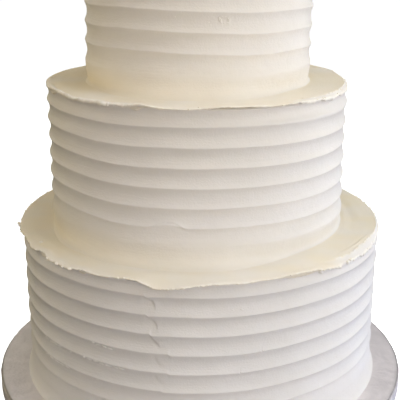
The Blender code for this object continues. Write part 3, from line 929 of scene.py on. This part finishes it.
def combed_side(tree, tier, sizes, icing):
    """A tier's combed wall and foot as one closed piece."""
    top_share = (tier.ledge - WALL_COVER - tier.top_crest) / tier.pitch
    even = np.arange(GROOVE_ROWS) / GROOVE_ROWS
    parts = even - CREST_CROWDING / math.tau * np.sin(math.tau * even)
    groove_rows = (tier.crests - 1) * GROOVE_ROWS + int(np.sum(parts <= top_share)) - 1
    below = TIERS[tier.number - 1] if tier.number else None
    floor = below.ledge if below else BOARD_TOP
    values = {
        "Radius": tier.radius, "Seat": floor, "Lowest Crest": tier.lowest_crest - floor,
        "Pitch": tier.pitch, "Groove Depth": sizes.groove_depth, "Crest Rounding": sizes.crest_round,
        "Foot Flare": tier.foot_flare, "Foot Run": tier.foot_run, "Toe": tier.toe,
        "Offset": tier.offset, "Wander": sizes.wander, "Swell": sizes.swell,
        "Smoothed To": SMOOTHED_UP if below else UNSMOOTHED, "Skin": sizes.skin,
        "Comb Slope": tier.slope, "Lean": tier.lean, "Foot Facing": math.radians(tier.facing),
        "Foot Narrowness": tier.narrowness, "Foot Tightness": TIGHT_FOOT if below else 1.0,
        "Seed": float(sizes.seed + tier.number), "Columns": WALL_COLUMNS, "Foot Rows": FOOT_ROWS,
        "Groove Rows": GROOVE_ROWS, "All Rows": FOOT_ROWS + groove_rows, "Icing": icing,
    }
    side = grown(f"{tier.node}_combed_side", tree, values)
    found = places(side.data)
    bearings, phase, scoop = (read(side.data, name) for name in ("bearing", "phase", "scoop"))
    level_lines(found, bearings, phase, tier, top_share)
    close_uppermost(found, bearings, phase, scoop, tier, sizes)
    hand_marks(found, bearings, phase, tier)
    tuck_under(found, bearings, tier, sizes)
    if below:
        settle_foot(found, floor, below, sizes)
    side.data.vertices.foreach_set("co", found.ravel())
    side.data.update()
    return side


def level_lines(found, bearings, phase, tier, top_share):
    """Lets the comb's lines rise and fall from level as the hand did."""
    upper, lower = listed_at(tier.level, np.degrees(bearings))
    share = np.clip(phase / (tier.crests - 1), 0, 1)
    standing = np.clip(1 + phase * GROOVE_ROWS / FOOT_ROWS, 0, 1)
    hidden = np.clip((phase - tier.crests + 1) / top_share, 0, 1)
    found[:, 2] += (share * upper + (1 - share) * lower) * standing * (1 - hidden) * MM


def close_uppermost(found, bearings, phase, scoop, tier, sizes):
    """Brings the uppermost scallop out again under the lip, however low the lip hangs."""
    drop = lip_at(tier, bearings, sizes)[2]
    upper, _ = listed_at(tier.level, np.degrees(bearings))
    crest = tier.top_crest + upper * MM
    span = tier.ledge - drop - sizes.lip_edge - crest
    rise = np.clip((found[:, 2] - crest) / span, 0, 1)
    shallower = np.clip(span / (0.8 * tier.pitch), 0.4, 1)
    reaches = []
    for share, scooped in ((phase - np.floor(phase), scoop), (0.93 * rise, scoop * shallower)):
        hollow = scooped * (1 - (2 * share - 1) ** 2)
        reaches.append(np.sqrt(hollow**2 + sizes.crest_round**2))
    push_out(found, bearings, np.where(phase > tier.crests - 1, reaches[0] - reaches[1], 0))


def hand_marks(found, bearings, phase, tier):
    """The seam where the comb was lifted, and its slips, burrs and nicks."""
    for crest, rises in tier.strays:
        (rise,) = listed_at(rises, np.degrees(bearings))
        found[:, 2] += rise * MM * bell(phase, crest, SLIP_SPREAD)
    lift = np.zeros(len(found))
    for kind, height, width, line in tier.marks:
        traced = np.array(line) * (math.radians(1) * tier.radius, tier.pitch)
        lift += marked(kind, height, width, traced, bearings * tier.radius, phase * tier.pitch)
    push_out(found, bearings, lift)


def tuck_under(found, bearings, tier, sizes):
    """Keeps the top of a wall inside its ledge wherever the lip hangs low."""
    radius = np.hypot(found[:, 0] - tier.centre(found[:, 2]), found[:, 1])
    edge, bend, drop, slant, *_ = lip_at(tier, bearings, sizes)
    sheet = tier.ledge - drop * lip_fall(1 - (edge - radius) / bend, slant) - WALL_CLEARANCE
    top = found[:, 2] > tier.ledge - 9 * MM  # only what a lip can hang over
    found[:, 2] = np.where(top, np.minimum(found[:, 2], sheet), found[:, 2])


def settle_foot(found, floor, below, sizes):
    """Lets a tier's foot follow the waves of the ledge that it stands on."""
    east = found[:, 0] - below.offset
    bearings, radius = np.arctan2(east, -found[:, 1]), np.hypot(east, found[:, 1])
    share = np.clip(1 - (found[:, 2] - floor) / SETTLED, 0, 1)
    found[:, 2] += spatula_waves(below, sizes, bearings, radius) * share**2


# ---- Ledges and lips


def lip_drop(tier, wanted, seed):
    """How far the lip hangs at each bearing: as listed in front, and drawn by lot behind."""
    draw = np.random.default_rng(seed)
    listed, drops = np.array(tier.lip).T
    spacing, stray, usual, spread = 6.5, 2, 1.5, 1.1
    behind = np.arange(listed[-1] + 9, listed[0] + 360 - 6, spacing)
    behind = behind + draw.uniform(-stray, stray, len(behind))
    hang = np.clip(draw.normal(usual, spread, len(behind)), -0.2, 4.2)
    ring = np.linspace(-180, 180, RING, endpoint=False)
    drop = np.interp(ring, np.append(listed, behind), np.append(drops, hang), period=360) * MM
    width = 1.1 * RING / 360  # softened over about a degree
    softening = np.exp(-2 * (np.pi * np.fft.rfftfreq(RING) * width) ** 2)
    soft = np.fft.irfft(np.fft.rfft(drop) * softening, RING)
    return np.interp(np.degrees(wanted), ring, soft, period=360)


def lip_shape(tier, bearings, sizes):
    """The lip at each bearing: its edge's radius, how far in it bends, how low it hangs, how
    nearly it was struck off at a slant, how far it is torn, and how far its frayed edge strays
    outwards and downwards."""
    seed, degrees = sizes.seed + 100 * tier.number, np.degrees(bearings)
    drop = 0.75 * lip_drop(tier, bearings, seed)
    patches = 0.45 + 0.55 * np.clip(ripple(bearings, seed + 1, 3, 26), -0.6, 1.2)
    patches = sizes.raggedness * patches * listed_at(tier.ragged, degrees)[0]
    fringe = 0.9 * patches * ripple(bearings, seed + 2, 60, 700, fall=0.35)
    fray = 1.6 * patches * ripple(bearings, seed + 3, 60, 700, fall=0.35)
    reach = sizes.lip_reach + 0.35 * MM * ripple(bearings, seed + 4, 5, 50)
    reach = reach + 0.45 * np.clip(drop, 0, 4 * MM)
    held, held_at = listed_at(tier.held, degrees)
    reach = reach + held * (held_at * MM - reach)
    torn = np.zeros_like(bearings)
    for middle, width, depth in tier.tears:
        share = np.exp2(-(((np.remainder(degrees - middle + 180, 360) - 180) / width) ** 2))
        reach = reach - depth * MM * share
        torn = np.maximum(torn, share)
    slant, breadth = listed_at(tier.bevel, degrees)
    bend = LIP_BEND + 1.6 * np.clip(drop, 0, 5 * MM)
    bend = bend + slant * (breadth * MM - bend)
    return tier.radius + reach, bend, drop, slant, torn, fray, fringe


def lip_at(tier, bearings, sizes):
    """The lip's shape looked up at any number of bearings."""
    ring = np.linspace(-np.pi, np.pi, RING, endpoint=False)
    shape = lip_shape(tier, ring, sizes)
    return [np.interp(bearings, ring, values, period=math.tau) for values in shape]


def lip_fall(share, slant):
    """How much of its drop the lip has fallen at a share of the way along its bend."""
    share = np.clip(share, 0, 1)
    return (1 - slant) * share**1.5 + slant * rising(share, BEVEL_SHOULDER, 1) ** 1.15


def ledge(tier, sizes, icing):
    """A tier's spatula-flattened top with the thin lip that the spatula left round it."""
    even = np.linspace(-np.pi, np.pi, LEDGE_COLUMNS, endpoint=False)
    bearings = even - FRONT_CROWDING * np.sin(even)
    degrees = np.degrees(bearings)
    seed = sizes.seed + 100 * tier.number
    edge, bend, drop, slant, torn, fray, fringe = lip_shape(tier, bearings, sizes)
    full_ring = np.ones(LEDGE_COLUMNS)

    # The flat, from under the next tier's foot, or from the middle of the uppermost.
    flats = UPPERMOST_FLAT_ROWS if tier is TOP else FLAT_ROWS
    inner = 0.3 * MM if tier is TOP else tier.radius - UNDER_NEXT
    rows = []
    for step in range(flats):
        share = (step / flats) ** 0.85
        rows.append((inner + (edge - bend - inner) * share, tier.ledge * full_ring))

    # The bend, with the spatula's bead, the curl of a thick edge and the frill of a struck one.
    ridge = 0.12 * MM * (0.7 + 0.5 * ripple(bearings, seed + 5, 6, 60))
    curled = listed_at(tier.thick, degrees)[0] - 1
    half = 0.5 * sizes.lip_edge * (1 + 0.3 * ripple(bearings, seed + 6, 20, 200)) * (1 + 1.4 * slant)
    curl, half = 1.7 * half * curled, half * (1 + curled)
    bead = listed_at(tier.bead, degrees)[0] * MM * (0.75 + 0.5 * ripple(bearings, seed + 9, 8, 90))
    frill = 0.45 * MM * slant * ripple(bearings, seed + 8, 30, 240, fall=0.3)
    for step in range(BEND_ROWS + 1):
        share = (step / BEND_ROWS) ** 0.8
        rim, brow = bell(share, 0.86, 0.1) * (1 - slant), bell(share, BEVEL_SHOULDER, 0.1)
        roll = bell(share, 0.76, 0.18) - 0.5 * bell(share, 0.35, 0.2)
        height = tier.ledge - drop * lip_fall(share, slant) + ridge * (rim + 2.6 * slant * brow)
        height = height + bead * roll * (1 - slant) + curl * rising(share, 0.5, 1) ** 2
        loose = rising(share, 0.8, 1) ** 2
        reach = edge - bend * (1 - share) + frill * brow + fray * loose
        rows.append((reach, height + 0.5 * frill * brow - fringe * loose))

    # The edge's own round, then the underside back to the wall, with the older layer of icing
    # bulging out below wherever the edge is torn.
    edge, tip = edge + fray, tier.ledge - drop - fringe + curl
    for angle in np.radians((25, 55, 90, 130, 165)):
        rows.append((edge + 0.7 * half * np.sin(angle), tip - half * (1 - np.cos(angle))))
    under = tip - 2 * half
    rows.append((edge - 0.8 * MM, under + 0.02 * MM))
    back = np.minimum(edge - 1.2 * MM, tier.radius - 0.6 * MM)
    rows.append((back, under + 0.1 * MM))
    lump = torn * (1 + 0.35 * ripple(bearings, seed + 7, 30, 300)) - 0.3
    for share, low in ((-0.9, 0.4), (-0.7, 1.0), (0.8, 1.6), (1.0, 2.2), (0.2, 3.0)):
        older = tier.radius - 0.9 * MM + 1.2 * MM * lump * share
        rows.append((np.where(lump > 0, older, back), under - low * MM * np.clip(torn, 0.1, 1)))
    rows.append(((tier.radius - 3.6 * MM) * full_ring, under - 3.2 * MM * torn))
    rows.append(((tier.radius - 8 * MM) * full_ring, under - 6 * MM))

    radius, height = np.swapaxes(rows, 0, 1)
    relief = spatula_waves(tier, sizes, bearings[None, :], radius)
    if tier is TOP:
        relief = relief * np.clip(radius / (30 * MM), 0, 1)
    east, south = radius * np.sin(bearings), radius * np.cos(bearings)
    for kind, lifted, width, line in tier.streaks:
        turns, reaches = np.array(line).T
        traced = round_axis(np.radians(turns), reaches, reaches)[:, :2] * (MM, -MM)
        mark = marked(kind, lifted, width, traced, east.ravel(), south.ravel())
        relief = relief + mark.reshape(relief.shape)
    relief[flats + BEND_ROWS + 6 :] = 0
    height = height + relief
    corners = round_axis(bearings, radius, height, tier.centre(height))
    top = closed_sheet(corners[::-1], f"{tier.node}_ledge")
    top.data.materials.append(icing)

    # Where the butter came up, tinted yellower, which also carries painted warm light on top and painted
    # warm shade at the left and back; and where the torn edge shows whipped icing, whiter, which also
    # carries painted highlights along the edge and a struck edge's brow.
    fallen = np.clip((radius - edge) / bend + 1, 0, 1)
    worked = listed_at(tier.pressed, degrees)[0] + 0.16 * mottled(east, south, seed + 11)
    worked = np.clip(worked, 0, 1)
    worked *= 1 - 0.9 * slant * rising(fallen, BEVEL_SHOULDER, BEVEL_SHOULDER + 0.2)
    worked *= 1 - 0.5 * np.clip(0.7 * curled, 0, 1) * rising(fallen, 0.5, 0.75)
    # Whiter along the lip's very edge and a struck edge's brow, in patches: partly torn icing, partly
    # painted highlight.
    patchy = np.clip(1.3 * ripple(bearings, seed + 10, 20, 200, fall=0.2) - 0.1, 0, 1)
    torn_and_highlight = rising(fallen, 0.9, 0.98) * np.clip(0.6 * slant + 0.45 * patchy, 0, 1)
    torn_and_highlight = np.maximum(torn_and_highlight, bell(fallen, BEVEL_SHOULDER + 0.05, 0.09) * slant * patchy)
    store(top.data, smoothed=worked[::-1].ravel(), torn=torn_and_highlight[::-1].ravel())
    return top


# ---- Crumbs


def crumb_tree():
    """Geometry nodes that grow a small torn lump of icing at each place they are given."""
    tree, given = started_tree(
        "Icing Crumbs",
        ("Geometry", "", "Geometry"),
        ("Float", "DISTANCE", "Lumpiness", "Lump Spacing"),
        ("Int", "", "Seed"),
        ("Material", "", "Icing"),
    )
    add = partial(put, tree)
    bit = add("GeometryNodeMeshIcoSphere", {"Radius": 1.0, "Subdivisions": 3})
    way, size = (
        add("GeometryNodeInputNamedAttribute", {"Name": name}, data_type="FLOAT_VECTOR")
        for name in ("way", "size")
    )
    least, most = (-0.15, -0.3, -0.15), (0.15, 0.3, 0.15)
    tilt = {0: least, 1: most, "Seed": given["Seed"]}
    tilt = add("FunctionNodeRandomValue", tilt, data_type="FLOAT_VECTOR")
    turned = add("FunctionNodeEulerToRotation", (add(VECTORS, (way, tilt), operation="ADD"),))
    strewn = {"Points": given["Geometry"], "Instance": bit, "Rotation": turned, "Scale": size}
    real = add("GeometryNodeRealizeInstances", (add("GeometryNodeInstanceOnPoints", strewn),))
    finely = add(MATH, (1.0, given["Lump Spacing"]), operation="DIVIDE")
    links = {"Vector": add("GeometryNodeInputPosition"), "Scale": finely, "Detail": 2.0}
    lumps = add(NOISE, links).node.outputs["Color"]
    centred = add(VECTORS, (lumps, (0.5, 0.5, 0.5)), operation="SUBTRACT")
    pushed = add(VECTORS, {0: centred, "Scale": given["Lumpiness"]}, operation="SCALE")
    torn = add("GeometryNodeSetPosition", {"Geometry": real, "Offset": pushed})
    return ended_tree(tree, torn, given["Icing"])


def crumbs(tree, tier, sizes, icing):
    """The bits of icing along a tier's lip, and the burrs along its comb's lines."""
    wall = bpy.data.objects[f"{tier.node}_combed_side"].data
    values = {"Lumpiness": 0.7 * MM, "Lump Spacing": 1.0 * MM, "Seed": sizes.seed, "Icing": icing}
    return grown(f"{tier.node}_crumbs", tree, values, crumb_places(tier, sizes, wall))


def crumb_places(tier, sizes, wall):
    """Where crumbs lie along a lip, and burrs along the comb's lines: the listed ones, and
    others drawn by lot."""
    draw = np.random.default_rng(sizes.seed + 300 + tier.number)
    listed = list(tier.crumbs)
    for _ in range(sizes.crumbs):
        bearing = draw.uniform(-180, 180)
        small = draw.uniform(0.4, 0.8) if abs(bearing) < 100 else draw.uniform(0.5, 1.2)
        listed.append((bearing, draw.uniform(-0.3, 0.8), small, draw.uniform(1.0, 2.6)))
    bearing, inset, size, length = np.array(listed).T
    turns = np.radians(bearing)
    edge, bend, drop, slant, _, fray, fringe = lip_at(tier, turns, sizes)
    outermost = inset < 0.5
    radius = edge - inset * MM + (0.25 * size * MM + fray) * outermost
    height = tier.ledge - drop * lip_fall(1 - inset * MM / bend, slant)
    height = height + np.where(outermost, -fringe, 0.05 * size * MM)
    spots = round_axis(turns, radius, height, tier.centre(height))
    ways = np.stack([0 * turns, 0 * turns, turns], axis=1)
    squash = np.where(outermost, 1.0, 0.35) * draw.uniform(0.6, 0.95, len(size))
    halves = 0.7 * MM * np.stack([size * length**0.7, size, size * squash], axis=1)

    found = places(wall)
    degrees, phase = np.degrees(read(wall, "bearing")), read(wall, "phase")
    for bearing, crest, size, length, tilt in tier.burrs:
        miss = np.hypot(np.radians(degrees - bearing) * tier.radius, (phase - crest) * tier.pitch)
        spots = np.vstack([spots, found[np.argmin(miss)]])
        ways = np.vstack([ways, (0, math.radians(-tilt), math.radians(bearing))])
        halves = np.vstack([halves, 0.5 * MM * np.array((size * length, size, size))])
    mesh = bpy.data.meshes.new("crumb_places")
    mesh.from_pydata(spots.tolist(), [], [])
    on_ledge = np.arange(len(spots)) < len(listed)
    # Crumbs on the ledge take the yellower tint. Crumbs and burrs both take some of the whiter tint:
    # partly torn icing, partly painted highlight.
    store(mesh, smoothed=0.7 * on_ledge, torn=0.2 + 0.25 * on_ledge, way=ways, size=halves)
    return mesh


# ---- The board


def foil_board():
    """The drum in its foil: flat, with rounded edges and the slight waves of pasted foil."""
    edge, middle = 2.0 * MM, 0.02 * BOARD_RADIUS
    bearings = np.linspace(0, math.tau, BOARD_COLUMNS, endpoint=False)
    quarter = np.radians(np.linspace(0, 90, 7))
    out, up = edge * (1 - np.cos(quarter)), edge * (1 - np.sin(quarter))
    section = [(middle, 0.0), (0.6 * BOARD_RADIUS, 0.0), (BOARD_RADIUS - 3 * edge, 0.0)]
    section += zip(BOARD_RADIUS - up, out)
    section += [(BOARD_RADIUS, BOARD_TOP * share) for share in (0.33, 0.5, 0.67)]
    section += zip(BOARD_RADIUS - out, BOARD_TOP - up)
    inward = np.linspace(BOARD_RADIUS - 2 * edge, 0.78 * BOARD_RADIUS, 24)
    section += [(radius, BOARD_TOP) for radius in (*inward, 0.4 * BOARD_RADIUS, middle)]
    radius, height = (column[:, None] + 0 * bearings for column in np.array(section).T)
    on_rim = (radius > 0.99 * BOARD_RADIUS) & (height > 0.2 * BOARD_TOP)
    radius = radius - on_rim * 0.12 * MM * (1 + ripple(bearings, 6, 30, 240))
    above = (height > 0.9 * BOARD_TOP) & (radius > 0.75 * BOARD_RADIUS)
    waves = ripple(bearings, 5, 4, 60) * np.sin(radius / (5 * MM))
    height = height - above * 0.1 * MM * (1 + waves)
    board = closed_sheet(round_axis(bearings, radius, height), "foil_board")
    # Where the painted dark reflection lies: a band round the rim's rounded top.
    past = (radius - (BOARD_RADIUS - edge)) / edge
    folded = bell(past, 0.5, 0.38) * (height > BOARD_TOP - edge)
    store(board.data, folded=folded.ravel())
    return board


# ---- Operators


def made_for_tiers(context, ending, make):
    """Makes a piece for each tier in the cake's one shared icing, and settles it."""
    colours = context.scene.cake_colours
    icing = bpy.data.materials.get("combed_buttercream")
    icing = icing or buttercream(colours.combed, colours.smoothed, colours.torn)
    for tier in TIERS:
        piece = make(tier, context.scene.cake_icing, icing)
        settle(piece, f"{tier.node}_{ending}", tier.node)
    return {"FINISHED"}


class CAKE_OT_board(bpy.types.Operator):
    """Make the foil-covered board"""

    bl_idname = "cake.board"
    bl_label = "Foil Board"

    def execute(self, context):
        board = foil_board()
        board.data.materials.append(board_foil(context.scene.cake_colours.foil))
        settle(board, "foil_board", "cake_board")
        return {"FINISHED"}


class CAKE_OT_combed_sides(bpy.types.Operator):
    """Make each tier's combed side with its foot"""

    bl_idname = "cake.combed_sides"
    bl_label = "Combed Sides"

    def execute(self, context):
        return made_for_tiers(context, "combed_side", partial(combed_side, combed_side_tree()))


class CAKE_OT_ledges(bpy.types.Operator):
    """Make each tier's flattened top with its uneven lip"""

    bl_idname = "cake.ledges"
    bl_label = "Ledges and Lips"

    def execute(self, context):
        return made_for_tiers(context, "ledge", ledge)


class CAKE_OT_crumbs(bpy.types.Operator):
    """Make the crumbs and curls of torn icing along each lip"""

    bl_idname = "cake.crumbs"
    bl_label = "Lip Crumbs"

    def execute(self, context):
        return made_for_tiers(context, "crumbs", partial(crumbs, crumb_tree()))


# Round soft lamps in a dome round the cake: bearing and elevation in degrees, distance in
# metres, watts, colour. Those below the floor stand for what a pale table gives back.
LAMPS = {
    "overhead": (0, 89, 1.2, 5.1, "#fffdfc"),
    "window_right": (110, 8, 1.2, 4.6, "#fafaff"),
    "high_right": (60, 38, 1.2, 4.5, "#f9faff"),
    "window_front": (-10, 8, 1.2, 4.1, "#fff7f0"),
    "window_front_right": (50, 8, 1.2, 3.5, "#fffdff"),
    "high_left": (-60, 38, 1.2, 2.7, "#fff1e4"),
    "ceiling_right": (110, 64, 1.2, 2.3, "#fefffe"),
    "window_behind": (-150, 8, 1.2, 1.1, "#fffbe8"),
    "window_left": (-110, 8, 1.2, 1.7, "#ffeb9c"),
    "table_front_right": (60, -26, 1.0, 1.5, "#ecf0ff"),
    "table_right": (100, -26, 1.0, 1.4, "#b3caff"),
    "table_front": (20, -26, 1.0, 0.9, "#ffebe0"),
}
LAMP_SIZE = 0.7
CAKE_MIDDLE = Vector((0.0, 0.0, 0.15))


def soft_lamp(name, bearing, elevation, distance, power, colour):
    """A round area lamp aimed at the cake, unseen by the camera."""
    lamp = bpy.data.lights.new(name, "AREA")
    lamp.shape = "DISK"
    lamp.size = LAMP_SIZE
    lamp.energy = power
    lamp.color = linear(colour)
    turn, rise = math.radians(bearing), math.radians(elevation)
    way = Vector((math.sin(turn) * math.cos(rise), -math.cos(turn) * math.cos(rise), math.sin(rise)))
    holder = object_from(lamp, name)
    holder.location = CAKE_MIDDLE + way * distance
    holder.rotation_euler = (-way).to_track_quat("-Z", "Y").to_euler()
    holder.visible_camera = False


def pale_floor():
    """A round floor with a wall of the same white sheet all round, far off."""
    reach, sides = 9.0, 96
    turns = [math.tau * side / sides for side in range(sides)]
    corners = [
        (reach * math.cos(turn), reach * math.sin(turn), height)
        for height in (0.0, reach)
        for turn in turns
    ]
    wall = [(side - 1) % sides for side in range(sides)]
    faces = [(side, before, before + sides, side + sides) for side, before in enumerate(wall)]
    mesh = bpy.data.meshes.new("floor")
    mesh.from_pydata(corners, [], [tuple(range(sides)), *faces])
    mesh.materials.append(lit_floor())
    floor = object_from(mesh, "floor")
    floor.visible_diffuse = False
    floor.visible_glossy = False
    floor.visible_shadow = False
    return floor


def room(strength):
    """The dim even light of the room between the lamps."""
    world = bpy.data.worlds.new("pale_room")
    bpy.context.scene.world = world
    world.use_nodes = True
    sky = world.node_tree.nodes["Background"]
    sky.inputs["Color"].default_value = (*linear("#fbf8f2"), 1.0)
    sky.inputs["Strength"].default_value = strength


class CAKE_OT_stage(bpy.types.Operator):
    """Make the floor, the lamps and the camera"""

    bl_idname = "cake.stage"
    bl_label = "Stage"

    def execute(self, context):
        stage = context.scene.cake_stage
        pale_floor()
        room(stage.room_light)
        for name, (bearing, elevation, distance, power, colour) in LAMPS.items():
            soft_lamp(name, bearing, elevation, distance, power * stage.lamp_power, colour)
        lens = bpy.data.cameras.new("camera")
        lens.lens = stage.lens
        lens.sensor_width = 36.0
        camera = object_from(lens, "camera")
        camera.location = (0.0, -stage.camera_distance, BOARD_TOP + stage.camera_height)
        camera.rotation_euler = (math.radians(90) - stage.camera_tilt, 0.0, 0.0)
        context.scene.camera = camera
        context.scene.view_settings.view_transform = "Standard"
        return {"FINISHED"}


GROUPS = {"cake_icing": CakeIcing, "cake_colours": CakeColours, "cake_stage": CakeStage}
OPERATORS = (CAKE_OT_board, CAKE_OT_combed_sides, CAKE_OT_ledges, CAKE_OT_crumbs, CAKE_OT_stage)


class CAKE_PT_sidebar(bpy.types.Panel):
    """The cake's sizes, colours and pieces"""

    bl_idname = "CAKE_PT_sidebar"
    bl_label = "Wedding Cake"
    bl_space_type = "VIEW_3D"
    bl_region_type = "UI"
    bl_category = "Wedding Cake"

    def draw(self, context):
        for group, listed in GROUPS.items():
            box = self.layout.box()
            for name in listed.__annotations__:
                box.prop(getattr(context.scene, group), name)
        for operator in OPERATORS:
            self.layout.operator(operator.bl_idname)


def register():
    for name, group in GROUPS.items():
        bpy.utils.register_class(group)
        setattr(bpy.types.Scene, name, PointerProperty(type=group))
    for made in (*OPERATORS, CAKE_PT_sidebar):
        bpy.utils.register_class(made)


def unregister():
    for made in (CAKE_PT_sidebar, *reversed(OPERATORS)):
        bpy.utils.unregister_class(made)
    for name, group in GROUPS.items():
        delattr(bpy.types.Scene, name)
        bpy.utils.unregister_class(group)


def main():
    register()
    bpy.ops.cake.board()
    bpy.ops.cake.combed_sides()
    bpy.ops.cake.ledges()
    bpy.ops.cake.crumbs()
    bpy.ops.cake.stage()


if __name__ == "__main__":
    main()
